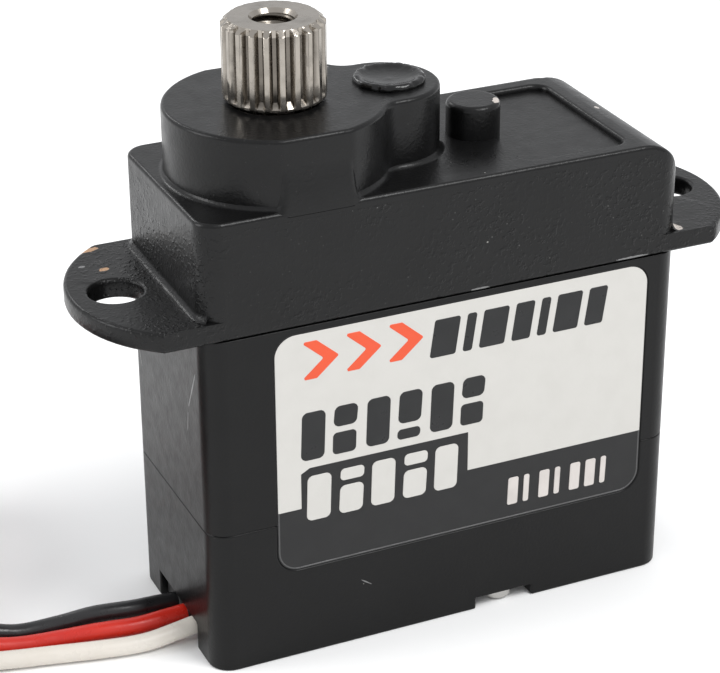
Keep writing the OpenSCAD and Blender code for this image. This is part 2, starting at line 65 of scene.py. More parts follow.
def make_camera():
    """The photograph's view: its turn and tilt, and its distance from the case."""
    yaw, pitch, roll = (math.radians(a) for a in (24.097, 26.628, -0.347))
    ahead = Vector((math.sin(yaw) * math.cos(pitch), math.cos(yaw) * math.cos(pitch), -math.sin(pitch)))
    right = ahead.cross(Vector((0, 0, 1))).normalized()
    up = right.cross(ahead)
    data = bpy.data.cameras.new("camera")
    data.sensor_width = 36
    data.lens = 118.4
    data.clip_start, data.clip_end = 0.005, 20
    camera = bpy.data.objects.new("camera", data)
    SCENE.collection.objects.link(camera)
    x = right * math.cos(roll) + up * math.sin(roll)
    y = up * math.cos(roll) - right * math.sin(roll)
    turn = Matrix((x, y, -ahead)).transposed()
    camera.matrix_world = Matrix.Translation(Vector((-44.26, -93.74, 65.16)) * MM) @ turn.to_4x4()
    SCENE.camera = camera


def area_light(name, place, target, size, power):
    data = bpy.data.lights.new(name, "AREA")
    data.shape = "RECTANGLE"
    data.size, data.size_y = (s * MM for s in size)
    data.energy = power
    light = bpy.data.objects.new(name, data)
    SCENE.collection.objects.link(light)
    light.location = Vector(place) * MM
    light.rotation_euler = (Vector(target) - Vector(place)).to_track_quat("-Z", "Y").to_euler()


def make_studio():
    SCENE.view_settings.view_transform = "Standard"
    SCENE.view_settings.exposure = 0.12
    world = bpy.data.worlds.new("studio")
    world.use_nodes = True
    background = world.node_tree.nodes["Background"]
    background.inputs["Color"].default_value = (0.97, 0.98, 1, 1)
    background.inputs["Strength"].default_value = 0.79
    SCENE.world = world
    centre = (0, 0, 12)
    area_light("key", (150, -225, 410), centre, (190, 190), 1.15)
    area_light("side", (-420, 120, 240), centre, (160, 260), 0.7)
    area_light("rim", (-120, 430, 300), centre, (110, 110), 0.25)
    bm = bmesh.new()
    bmesh.ops.create_grid(bm, x_segments=8, y_segments=8, size=4)
    mesh = bpy.data.meshes.new("floor")
    bm.to_mesh(mesh)
    floor = bpy.data.objects.new("floor", mesh)
    SCENE.collection.objects.link(floor)
    look = Look("floor_paper", (0.97, 0.97, 0.965), 0.9)
    look.bump(look.noise(0.4, 3), 0.02)
    mesh.materials.append(look.material)


# ---------------------------------------------------------------- materials

class Look:
    """A procedural material. Its patterns are measured in millimetres on the object itself."""

    def __init__(self, name, colour, roughness, metallic=0.0, **sockets):
        self.material = bpy.data.materials.new(name)
        self.material.use_nodes = True
        self.nodes = self.material.node_tree.nodes
        self.links = self.material.node_tree.links
        self.shader = self.nodes["Principled BSDF"]
        self.colour = (*colour, 1)
        self.shader.inputs["Base Color"].default_value = self.colour
        self.shader.inputs["Roughness"].default_value = roughness
        self.shader.inputs["Metallic"].default_value = metallic
        for socket, value in sockets.items():
            self.shader.inputs[socket.replace("_", " ")].default_value = value
        coordinates = self.nodes.new("ShaderNodeTexCoord")
        self.place = self.math("SCALE", coordinates.outputs["Object"], vector=True, Scale=1 / MM)
        self.normal = None

    def math(self, operation, *values, vector=False, **named):
        kind = "ShaderNodeVectorMath" if vector else "ShaderNodeMath"
        node = self.nodes.new(kind)
        node.operation = operation
        for i, value in enumerate(values):
            self.feed(node.inputs[i], value)
        for name, value in named.items():
            self.feed(node.inputs[name], value)
        return node.outputs["Value" if operation == "DISTANCE" or not vector else "Vector"]

    def feed(self, socket, value):
        if isinstance(value, bpy.types.NodeSocket):
            self.links.new(value, socket)
        else:
            socket.default_value = value

    def stretch(self, *scale, turn=(0, 0, 0)):
        """The place on the object with each axis scaled, which makes a pattern long one way."""
        node = self.nodes.new("ShaderNodeMapping")
        self.links.new(self.place, node.inputs["Vector"])
        node.inputs["Scale"].default_value = scale
        node.inputs["Rotation"].default_value = turn
        return node.outputs["Vector"]

    def noise(self, per_mm, detail, at=None):
        node = self.nodes.new("ShaderNodeTexNoise")
        self.links.new(at or self.place, node.inputs["Vector"])
        node.inputs["Scale"].default_value = per_mm
        node.inputs["Detail"].default_value = detail
        return node.outputs["Fac"]

    def ramp(self, value, *stops):
        """Smooth change of grey or colour: each stop is a position and its value."""
        node = self.nodes.new("ShaderNodeValToRGB")
        self.links.new(value, node.inputs["Fac"])
        elements = node.color_ramp.elements
        while len(elements) < len(stops):
            elements.new(0.5)
        for element, (position, shade) in zip(elements, stops):
            element.position = position
            element.color = (*shade, 1) if isinstance(shade, tuple) else (shade, shade, shade, 1)
        return node.outputs["Color"]

    def mix(self, share, first, second):
        node = self.nodes.new("ShaderNodeMix")
        node.data_type = "RGBA"
        self.feed(node.inputs["Factor"], share)
        self.feed(node.inputs[6], first)
        self.feed(node.inputs[7], second)
        return node.outputs[2]

    def bump(self, height, depth):
        """Relief of that depth in millimetres, on top of any relief given before."""
        node = self.nodes.new("ShaderNodeBump")
        node.inputs["Strength"].default_value = 1
        node.inputs["Distance"].default_value = depth * MM
        self.links.new(height, node.inputs["Height"])
        if self.normal:
            self.links.new(self.normal, node.inputs["Normal"])
        self.normal = node.outputs["Normal"]
        self.links.new(self.normal, self.shader.inputs["Normal"])

    def specks(self, per_mm, radius, share):
        """A scatter of small dots: 1 inside one, 0 elsewhere."""
        cells = self.nodes.new("ShaderNodeTexVoronoi")
        self.links.new(self.place, cells.inputs["Vector"])
        cells.inputs["Scale"].default_value = per_mm
        near = self.math("LESS_THAN", cells.outputs["Distance"], radius * per_mm)
        parts = self.nodes.new("ShaderNodeSeparateColor")
        self.links.new(cells.outputs["Color"], parts.inputs["Color"])
        chosen = self.math("LESS_THAN", parts.outputs["Red"], share)
        return self.math("MULTIPLY", near, chosen)

    def tint(self, share, colour):
        """Another colour over the present one, by share."""
        present = self.shader.inputs["Base Color"]
        first = present.links[0].from_socket if present.links else self.colour
        self.links.new(self.mix(share, first, (*colour, 1)), present)

    def rough(self, value, low, high):
        self.links.new(self.ramp(value, (0.3, low), (0.7, high)), self.shader.inputs["Roughness"])


def moulded_plastic(name, colour, roughness, grain=0.0, dust=0.05, smooth_above=99.0, marks=(), **sockets):
    """Glass-filled black plastic: uneven tone, fine grain, pits, dust, and marks where it is worn.

    A mark is its middle, its half lengths, its turn in degrees and its colour. Above the given height the
    grain is faint.
    """
    look = Look(name, colour, roughness, **sockets)
    cloud = look.noise(0.35, 4)
    look.tint(look.ramp(cloud, (0.35, 0.0), (0.75, 0.55)), tuple(c * 1.7 for c in colour))
    look.rough(look.noise(1.3, 3), roughness - 0.04, roughness + 0.05)
    look.bump(look.noise(6, 3), 0.01)
    if grain:
        pebbles = look.ramp(look.noise(4.5, 2), (0.52, 0.0), (0.68, 1.0))
        height = look.nodes.new("ShaderNodeSeparateXYZ")
        look.links.new(look.place, height.inputs["Vector"])
        low = look.math("MULTIPLY_ADD", look.math("LESS_THAN", height.outputs["Z"], smooth_above), 0.85, 0.15)
        patches = look.math("MULTIPLY", look.ramp(look.noise(0.22, 2), (0.42, 0.25), (0.6, 1.0)), low)
        look.bump(look.math("MULTIPLY", pebbles, patches), 0.028 * grain)
        drawn = look.math("MULTIPLY", look.noise(1, 4, at=look.stretch(4.5, 4.5, 0.6)), low)
        look.bump(drawn, 0.008 * grain)
        fine = look.math("MULTIPLY", look.specks(2.6, 0.035, 0.35), patches)
        look.tint(look.math("MULTIPLY", fine, 0.5 * grain), (0.16, 0.16, 0.155))
    pits = look.specks(1.4, 0.075, 0.16)
    look.bump(look.math("SUBTRACT", 1.0, pits), 0.02)
    look.tint(look.math("MULTIPLY", look.specks(1.1, 0.05, dust), 0.7), (0.36, 0.35, 0.33))
    ragged = look.math("MULTIPLY_ADD", look.noise(5, 3), 1.2, -0.6)
    for place, half, turn, shade in marks:
        area = look.nodes.new("ShaderNodeMapping")
        area.vector_type = "TEXTURE"
        look.links.new(look.place, area.inputs["Vector"])
        area.inputs["Location"].default_value = place
        area.inputs["Rotation"].default_value = tuple(math.radians(a) for a in turn)
        area.inputs["Scale"].default_value = half
        gone = look.math("DISTANCE", area.outputs["Vector"], (0, 0, 0), vector=True)
        inside = look.math("LESS_THAN", look.math("ADD", gone, ragged), 1.0)
        look.tint(inside, shade)
        look.bump(look.math("SUBTRACT", 1.0, inside), 0.02)
    return look.material


def metal(name, colour, roughness, streak=(3, 3, 3), depth=0.004):
    """Look of bare metal with machining streaks, uneven polish and a little tarnish."""
    look = Look(name, colour, roughness, 1.0)
    lines = look.noise(1, 3, at=look.stretch(*streak))
    look.bump(lines, depth)
    look.rough(look.noise(1.8, 3), max(roughness - 0.1, 0.05), roughness + 0.12)
    dull = look.ramp(look.noise(0.9, 4), (0.45, 0.0), (0.8, 0.6))
    look.tint(dull, tuple(c * 0.55 for c in colour))
    return look


def bare_metal(*values, **options):
    return metal(*values, **options).material


def moulded(name, colour, roughness, relief=0.004, second=None, **sockets):
    """A smaller moulded or coated piece: uneven tone and gloss, with a fine relief."""
    look = Look(name, colour, roughness, **sockets)
    patches = look.ramp(look.noise(0.8, 4), (0.4, 0.0), (0.75, 0.5))
    look.tint(patches, second or tuple(c * 0.7 for c in colour))
    look.rough(look.noise(2.2, 2), max(roughness - 0.08, 0.04), roughness + 0.08)
    look.bump(look.noise(6, 2), relief)
    return look.material


def wire_skin(name, colour, second):
    """Glossy soft insulation with slight waves and dull rubbed patches."""
    look = Look(name, colour, 0.3, IOR=1.48)
    look.tint(look.ramp(look.noise(0.5, 4), (0.4, 0.0), (0.75, 0.6)), second)
    look.rough(look.noise(1.1, 3), 0.2, 0.42)
    look.bump(look.noise(1.2, 3), 0.03)
    return look.material


def copper_winding(name):
    """Fine enamelled wire wound round the rotor at a slant."""
    look = Look(name, (0.55, 0.2, 0.08), 0.3, 1.0)
    wave = look.nodes.new("ShaderNodeTexWave")
    look.links.new(look.stretch(0.35, 0.35, 1, turn=(0.5, 0.3, 0)), wave.inputs["Vector"])
    wave.inputs["Scale"].default_value = 2.6
    look.bump(wave.outputs["Fac"], 0.06)
    # Painted shade: the wire is tinted darker down in the grooves between the turns.
    look.tint(look.ramp(wave.outputs["Fac"], (0.2, 0.6), (0.8, 0.0)), (0.2, 0.06, 0.02))
    return look.material


def board_green(name):
    """Solder mask with the faint pattern of copper under it."""
    look = Look(name, (0.02, 0.12, 0.05), 0.3, Coat_Weight=0.4)
    tracks = look.nodes.new("ShaderNodeTexBrick")
    look.links.new(look.place, tracks.inputs["Vector"])
    tracks.inputs["Scale"].default_value = 0.9
    tracks.inputs["Mortar Size"].default_value = 0.08
    look.tint(look.math("MULTIPLY", tracks.outputs["Fac"], 0.8), (0.06, 0.3, 0.12))
    look.bump(tracks.outputs["Fac"], 0.02)
    return look.material


# ---------------------------------------------------------------- mesh building

def piece(name, verts, faces, body, slot, material, replaces=(), sharp=35):
    """A mesh given in millimetres becomes a piece that rides on a body."""
    mesh = bpy.data.meshes.new(name)
    mesh.from_pydata([Vector(v) * MM for v in verts], [], faces)
    bm = bmesh.new()
    bm.from_mesh(mesh)
    bmesh.ops.remove_doubles(bm, verts=bm.verts, dist=1e-7)
    bmesh.ops.recalc_face_normals(bm, faces=bm.faces)
    bm.to_mesh(mesh)
    bm.free()
    mesh.shade_smooth()
    mesh.set_sharp_from_angle(angle=math.radians(sharp))
    mesh.materials.append(material)
    made = bpy.data.objects.new(name, mesh)
    SCENE.collection.objects.link(made)
    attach(made, body)
    if replaces:
        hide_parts(*replaces)


def ring_faces(rings, count, first=0):
    """Quads between rings of points, each ring closed on itself."""
    return [(first + i * count + j, first + i * count + (j + 1) % count,
             first + (i + 1) * count + (j + 1) % count, first + (i + 1) * count + j)
            for i in range(rings - 1) for j in range(count)]


def lathe(profile, centre, steps):
    """Points and faces of a profile of radius and height turned round an upright axis."""
    verts = [(centre[0] + r * math.cos(2 * math.pi * k / steps),
              centre[1] + r * math.sin(2 * math.pi * k / steps), z)
             for r, z in profile for k in range(steps)]
    return verts, ring_faces(len(profile), steps)


def arc(centre, radius, start, end, steps):
    """Points on a circular arc, angles in degrees."""
    return [(centre[0] + radius * math.cos(math.radians(start + (end - start) * i / steps)),
             centre[1] + radius * math.sin(math.radians(start + (end - start) * i / steps)))
            for i in range(steps + 1)]


def round_corners(points, radius, steps):
    """A closed outline with its corners rounded."""
    out = []
    for i, point in enumerate(points):
        here = Vector(point)
        back, on = (Vector(points[i - 1]) - here), (Vector(points[(i + 1) % len(points)]) - here)
        half = back.angle(on) / 2
        cut = min(radius / math.tan(half), 0.48 * back.length, 0.48 * on.length)
        a, b = here + back.normalized() * cut, here + on.normalized() * cut
        centre = here + (back.normalized() + on.normalized()).normalized() * cut / math.cos(half)
        for k in range(steps + 1):
            way = (a - centre).lerp(b - centre, k / steps)
            out.append(centre + way.normalized() * (a - centre).length)
    return out


def plates(name, outlines, face_y, depth, body, slot, material, edge=0.02, **options):
    """Thin plates on the front of the case from outlines of x and z, with a fine bevel round each."""
    verts, faces = [], []
    for outline in outlines:
        points = [Vector(p) for p in outline]
        count = len(points)
        turning = sum(a.x * b.y - b.x * a.y for a, b in zip(points, points[1:] + points[:1]))
        inward = 1 if turning > 0 else -1
        inner = []
        for i, p in enumerate(points):
            along = (points[(i + 1) % count] - points[i - 1]).normalized()
            inner.append(p + Vector((-along.y, along.x)) * edge * inward)
        first = len(verts)
        for loop, y in ((points, face_y + depth), (points, face_y + edge), (inner, face_y)):
            verts += [(p.x, y, p.y) for p in loop]
        faces += ring_faces(3, count, first)
        faces.append(tuple(range(first + 2 * count, first + 3 * count)))
        faces.append(tuple(range(first + count - 1, first - 1, -1)))
    piece(name, verts, faces, body, slot, material, **options)


# Edges sharper than this many degrees are bevelled, and those sharper than this stay crisp in the shading
BEVEL_ABOVE, CRISP_ABOVE = 30, 40


def crease_nodes():
    """Geometry nodes that keep every edge sharper than CRISP_ABOVE crisp in the shading."""
    tree = bpy.data.node_groups.new("creases", "GeometryNodeTree")
    for way in ("INPUT", "OUTPUT"):
        tree.interface.new_socket("Geometry", in_out=way, socket_type="NodeSocketGeometry")
    first, last = tree.nodes.new("NodeGroupInput"), tree.nodes.new("NodeGroupOutput")
    bend = tree.nodes.new("GeometryNodeInputMeshEdgeAngle")
    gentle = tree.nodes.new("FunctionNodeCompare")
    gentle.operation = "LESS_THAN"
    gentle.inputs["B"].default_value = math.radians(CRISP_ABOVE)
    shade = tree.nodes.new("GeometryNodeSetShadeSmooth")
    shade.domain = "EDGE"
    tree.links.new(bend.outputs["Unsigned Angle"], gentle.inputs["A"])
    tree.links.new(first.outputs[0], shade.inputs["Geometry"])
    tree.links.new(gentle.outputs["Result"], shade.inputs["Shade Smooth"])
    tree.links.new(shade.outputs["Geometry"], last.inputs[0])
    return tree


def soften(node, width, edges=(None,)):
    """Rounds the sharp edges of a CAD node with modifiers, which leave its own mesh as it is.

    Without edges, every edge sharper than BEVEL_ABOVE is rounded. With edges, each is a rule that gives
    a vertex its share of the width, and only the edges between such vertices are rounded.
    """
    target = NODES[node]
    target.data.shade_smooth()
    target.modifiers.new("weld", "WELD").merge_threshold = 2e-7
    flat = target.modifiers.new("flat", "DECIMATE")
    flat.decimate_type = "DISSOLVE"
    flat.angle_limit = math.radians(0.4)
    for rule in edges:
        bevel = target.modifiers.new("bevel", "BEVEL")
        bevel.width = width * MM
        bevel.segments = 3
        bevel.use_clamp_overlap = False
        if rule is None:
            bevel.limit_method = "ANGLE"
            bevel.angle_limit = math.radians(BEVEL_ABOVE)
        else:
            group = target.vertex_groups.new(name=rule.__name__)
            for vertex in target.data.vertices:
                share = rule(vertex.co / MM)
                if share:
                    group.add([vertex.index], share, "REPLACE")
            bevel.limit_method = "VGROUP"
            bevel.vertex_group = group.name
    target.modifiers.new("creases", "NODES").node_group = crease_nodes()
    target.modifiers.new("shade", "WEIGHTED_NORMAL").keep_sharp = True


def dress(material, *nodes):
    """Gives CAD nodes a material in place of their plain one."""
    for node in nodes:
        NODES[node].data.materials.clear()
        NODES[node].data.materials.append(material)


# ---------------------------------------------------------------- the lead

# Middle of the row of wires, from the case to the coil and from there to the connector: place, turn of the
# row in degrees, and spacing of the wires
LEAD = (
    (-12.1, -0.55, 0.80, 0, 1.20), (-13.3, -0.60, 0.78, 6, 1.20), (-14.7, -0.64, 0.76, 12, 1.20),
    (-16.6, -0.30, 0.74, 12, 1.20), (-18.5, 0.18, 0.53, 2, 1.20), (-20.5, 0.55, 0.49, 0, 1.12),
    (-22.4, 1.00, 0.80, 14, 1.12), (-24.4, 1.40, 1.35, 42, 1.12), (-26.3, 1.58, 1.85, 75, 1.12),
    (-28.0, 1.62, 2.00, 90, 1.12))
TAIL = (
    (-26.49, 3.51, 2.05, 90, 1.12), (-23.76, 6.00, 3.30, 90, 1.12), (-22.60, 9.60, 4.70, 90, 1.12),
    (-22.75, 12.4, 5.45, 85, 1.12), (-23.9, 15.1, 5.45, 65, 1.14), (-26.6, 16.56, 5.30, 35, 1.20),
    (-29.4, 15.7, 5.10, 8, 1.35), (-30.7, 13.6, 5.00, 0, 1.80), (-31.0, 11.8, 5.00, 0, 2.45),
    (-31.0, 10.6, 5.00, 0, 2.54), (-31.0, 9.2, 5.00, 0, 2.54))
COIL = Vector((-30, 9.6))
WIRE_D = 0.9


def coil_route():
    """Both arms of the coil, joined by two half circles in its middle, as rows of the same kind."""
    pitch, inner = 2.24, 4.6
    height, turn, spacing = 2.0, 90, 1.12
    rows = []

    def row(angle, radius, centre=Vector((0, 0))):
        spot = COIL + centre + Vector((math.cos(math.radians(angle)), math.sin(math.radians(angle)))) * radius
        rows.append((spot.x, spot.y, height, turn, spacing))

    for angle in range(630, 90, -15):
        row(angle, inner + pitch * (angle - 90) / 360)
    for angle in range(90, -90, -18):
        row(angle, inner / 2, Vector((0, inner / 2)))
    for angle in range(90, 270, 18):
        row(angle, inner / 2, Vector((0, -inner / 2)))
    for angle in range(270, 631, 15):
        row(angle, inner + pitch * (angle - 270) / 360)
    return rows


def smooth_rows(rows, steps):
    """Rows with more between them, on a smooth curve through each."""
    out = []
    for i in range(len(rows) - 1):
        a, b, c, d = (Vector(rows[min(max(i + k, 0), len(rows) - 1)]) for k in (-1, 0, 1, 2))
        for s in range(steps):
            t = s / steps
            out.append(tuple(0.5 * (2 * b + (c - a) * t + (2 * a - 5 * b + 4 * c - d) * t ** 2
                                    + (3 * b - a - 3 * c + d) * t ** 3)))
    return out + [rows[-1]]


def wire_route(k):
    """Centreline of wire k: -1 and 1 are the outer wires of the row and 0 the middle one."""
    coil = coil_route()
    rows = smooth_rows(LEAD + (coil[0],), 3)[:-1] + coil + smooth_rows((coil[-1],) + TAIL, 3)[1:]
    points = []
    for i, (x, y, z, turn, spacing) in enumerate(rows):
        a, b = rows[max(i - 1, 0)], rows[min(i + 1, len(rows) - 1)]
        along = Vector((b[0] - a[0], b[1] - a[1])).normalized()
        side = k * spacing * math.cos(math.radians(turn))
        points.append(Vector((x + along.y * side, y - along.x * side,
                              z + k * spacing * math.sin(math.radians(turn)))))
    return points


def cord(name, k, material, replaces):
    """Wire k of the lead as a round curve through its route, with what it carries."""
    points = wire_route(k)
    data = bpy.data.curves.new(name, "CURVE")
    data.dimensions = "3D"
    data.bevel_depth = WIRE_D / 2 * MM
    data.bevel_resolution = 5
    data.use_fill_caps = True
    data.resolution_u = 3
    spline = data.splines.new("NURBS")
    spline.points.add(len(points) - 1)
    for target, point in zip(spline.points, points):
        target.co = (*(point * MM), 1)
    spline.order_u = 3
    spline.use_endpoint_u = True
    data.materials.append(material)
    made = bpy.data.objects.new(name, data)
    SCENE.collection.objects.link(made)
    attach(made, "case")
    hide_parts(*replaces)


make_camera()
make_studio()
cord("ground_lead", 1, wire_skin("black_insulation", (0.012, 0.012, 0.013), (0.03, 0.03, 0.032)),
     ("ground_wire", "lead_coil"))
cord("power_lead", 0, wire_skin("red_insulation", (0.62, 0.025, 0.012), (0.48, 0.012, 0.008)),
     ("power_wire", "lead_coil"))
cord("signal_lead", -1, wire_skin("white_insulation", (0.72, 0.675, 0.61), (0.64, 0.585, 0.51)),
     ("signal_wire", "lead_coil"))

# ---------------------------------------------------------------- case

TAN, PALE, DULL = (0.5, 0.3, 0.17), (0.52, 0.47, 0.43), (0.2, 0.2, 0.2)
UPRIGHT = (0, 0, 0)
upper_look = moulded_plastic("case_upper", (0.004, 0.004, 0.0041), 0.31, 1.0, 0.08, 22.9, IOR=1.34, marks=(
    ((-14.3, 4.75, 18.55), (0.55, 0.2, 0.2), (0, 0, 10), TAN),
    ((-14.3, 2.4, 18.6), (0.24, 0.17, 0.1), UPRIGHT, TAN),
    ((-15.15, 3.1, 18.6), (0.16, 0.1, 0.1), UPRIGHT, DULL),
    ((12.35, -4.7, 18.65), (0.25, 0.3, 0.25), UPRIGHT, PALE),
    ((4.5, -0.6, 25.0), (0.35, 0.16, 0.2), (0, 0, 60), PALE),
    ((9.6, -5.2, 17.75), (0.9, 0.1, 0.06), UPRIGHT, DULL),
    ((1.5, -5.2, 17.72), (0.5, 0.1, 0.07), UPRIGHT, DULL),
    ((10.6, 0.4, 23.3), (0.14, 0.14, 0.1), UPRIGHT, PALE)))
lower_look = moulded_plastic("case_lower", (0.003, 0.003, 0.0031), 0.33, dust=0.07, IOR=1.31, marks=(
    ((-12.25, -3.3, 14.5), (0.2, 0.045, 1.2), (26, 0, 0), DULL),
    ((-12.25, -2.6, 12.6), (0.2, 0.03, 0.5), (8, 0, 0), DULL),
    ((-12.0, -5.0, 15.3), (0.1, 0.1, 0.13), UPRIGHT, PALE),
    ((-12.25, 0.9, 15.6), (0.1, 0.12, 0.1), UPRIGHT, DULL),
    ((-12.25, 3.9, 12.9), (0.2, 0.03, 0.45), (-20, 0, 0), DULL),
    ((-4.4, -5.2, 3.2), (0.3, 0.2, 0.03), (0, 35, 0), DULL)))
dress(upper_look, "upper_case")
dress(lower_look, "middle_case", "bottom_cover")

CASE_L, CASE_W = (2 * box("middle_case")[1][i] for i in (0, 1))
SHAFT, BOSS, POST = middle("output_shaft"), middle("boss_shaft_pin"), middle("post_shaft_pin")
DECK_Z, TOWER_Z, EAR_Z, SEAM_Z = 23.35, 26.65, 18.6, 17.6
TOWER_R, BOSS_R, BLEND_R, TOWER_FLAT = 5.21, 2.7, 1.2, 4.97


def from_axis(v, axis):
    return math.hypot(v.x - axis.x, v.y - axis.y)


def on_deck_end(v, side):
    """Whether a vertex is on the deck's rounded end, at the back for side 1 and at the front for side -1."""
    return v.z > DECK_Z - 2.25 and v.x > 10 and side * v.y > CASE_W / 2 - 1.15


def rims(v):
    """Upper rims of the tower, deck, pocket and ears, and the front of the deck's rounded end."""
    if abs(v.z - TOWER_Z) < 0.01:
        return 1.0 if from_axis(v, SHAFT) > 3 else 0
    if abs(v.z - EAR_Z) < 0.01:
        return 0.55 if abs(v.x) > CASE_L / 2 + 0.05 else 0
    if abs(v.z - DECK_Z) < 0.01:
        on_post = from_axis(v, POST) < 1.5
        in_pocket = 4 < v.x < 9.8 and abs(v.y) < 4.4
        if in_pocket:
            return 0 if on_post else 0.5
        tower_foot = from_axis(v, SHAFT) < TOWER_R + 0.01 or (-9 < v.x < POST.x and abs(v.y) < 5.1)
        return 0 if tower_foot or on_post else 0.8
    return 0.55 if on_deck_end(v, -1) else 0


def back_of_end(v):
    return 0.55 if on_deck_end(v, 1) else 0


def ear_undersides(v):
    return 0.55 if abs(v.z - SEAM_Z) < 0.01 and abs(v.x) > CASE_L / 2 + 0.25 else 0


soften("upper_case", 0.2, edges=(rims, back_of_end, ear_undersides))
soften("middle_case", 0.05)
soften("bottom_cover", 0.1)
dress(bare_metal("zinc_plate", (0.5, 0.49, 0.47), 0.24), "case_screws")
soften("case_screws", 0.05)


def outline_of_tower():
    """Outline of the tower and its boss: points and outward directions, counter-clockwise."""
    gap = BOSS.x - SHAFT.x
    to_tower, to_boss = TOWER_R + BLEND_R, BOSS_R + BLEND_R
    bx = (gap ** 2 + to_tower ** 2 - to_boss ** 2) / (2 * gap)
    by = math.sqrt(to_tower ** 2 - bx ** 2)
    at_tower = math.degrees(math.atan2(by, bx))
    at_boss = math.degrees(math.atan2(by, bx - gap))
    out = []

    def sweep(centre, radius, start, end, outward):
        count = max(3, int(abs(end - start) / 1.5 * max(radius, 1.5) / 5))
        for x, y in arc(centre, radius, start, end, count):
            away = (Vector((x, y)) - Vector(centre)).normalized() * outward
            out.append((Vector((x, y)), away))

    sweep((SHAFT.x, 0), TOWER_R, at_tower, 360 - at_tower, 1)
    sweep((SHAFT.x + bx, -by), BLEND_R, 180 - at_tower, 180 - at_boss, -1)
    sweep((BOSS.x, 0), BOSS_R, -at_boss, at_boss, 1)
    sweep((SHAFT.x + bx, by), BLEND_R, 180 + at_boss, 180 + at_tower, -1)
    return out


def tower_fillet():
    """Hollow fillet along the foot of the tower. Under the tower's flats it turns into a slope that runs
    out in the sides of the case."""
    half_w = CASE_W / 2
    size, steps, sunk, blend = 0.3, 7, 0.02, 0.12
    slope_top, slope_foot = 2.4, -0.25
    under, skirt, slope_skirt = 0.004, 0.13, 0.14
    line = outline_of_tower()
    verts = []
    for point, away in line:
        flat = min(1.0, max(0.0, (abs(point.y) - TOWER_FLAT + blend) / blend))
        side = math.copysign(1, point.y)
        inside = TOWER_FLAT - sunk
        for k in range(steps + 1):
            t = k / steps
            spot = point + away * (size * (1 - math.cos(math.pi / 2 * t)) - sunk)
            round_y = max(-half_w, min(half_w, spot.y))
            round_z = size * (1 - math.sin(math.pi / 2 * t)) - under
            slope_y = side * (inside + (half_w - inside) * t * t * (3 - 2 * t))
            slope_z = slope_top + (slope_foot - slope_top) * t
            verts.append((spot.x + (point.x - spot.x) * flat, round_y + (slope_y - round_y) * flat,
                          DECK_Z + round_z + (slope_z - round_z) * flat))
        verts.append((*verts[-1][:2], DECK_Z - skirt - slope_skirt * flat))
    rows, count = steps + 2, len(line)
    faces = [(i * rows + k, i * rows + k + 1, ((i + 1) % count) * rows + k + 1, ((i + 1) % count) * rows + k)
             for i in range(count) for k in range(rows - 1)]
    piece("tower_fillet", verts, faces, "case", "case_plastic", upper_look, sharp=70)


tower_fillet()


def shaft_cap():
    """Cap over the gear pin: a rolled rim with a rough, melted edge round a dished middle."""
    lo, hi = box("gear_shaft_cap")
    centre = (lo + hi) / 2
    r = (hi.x - lo.x) / 2
    top = hi.z
    deck = top - 0.3
    profile = [(r - 0.25, lo.z), (r - 0.2, deck - 0.02), (r - 0.02, deck), (r, deck + 0.12),
               (r - 0.05, deck + 0.22), (r - 0.16, top), (r - 0.3, top - 0.02), (r - 0.42, top - 0.09),
               (r - 0.6, top - 0.16), (r - 0.95, top - 0.22), (r - 1.3, top - 0.25), (0.18, top - 0.25),
               (0.02, top - 0.24)]
    steps = 120
    verts, faces = lathe(profile, centre, steps)
    shaken = []
    for x, y, z in verts:
        away = Vector((x - centre.x, y - centre.y, 0))
        near_rim = max(0.0, 1 - abs(away.length - (r - 0.15)) / 0.45)
        rough = noise.noise(Vector((x * 3.1, y * 3.1, z * 2))) + 0.6 * noise.noise(Vector((x, y, z)) * 8)
        push = 0.1 * near_rim * rough
        shaken.append((x + away.x / max(away.length, 0.1) * push * 0.6,
                       y + away.y / max(away.length, 0.1) * push * 0.6, min(z + push * 0.8, top)))
    faces.append(tuple(range((len(profile) - 1) * steps, len(profile) * steps)))
    piece("cap_rim", shaken, faces, "case", "case_plastic", cap_look, replaces=("gear_shaft_cap",),
          sharp=60)


cap_look = moulded_plastic("case_cap", (0.004, 0.004, 0.0041), 0.17, dust=0.35, IOR=1.42)
shaft_cap()

# ---------------------------------------------------------------- label

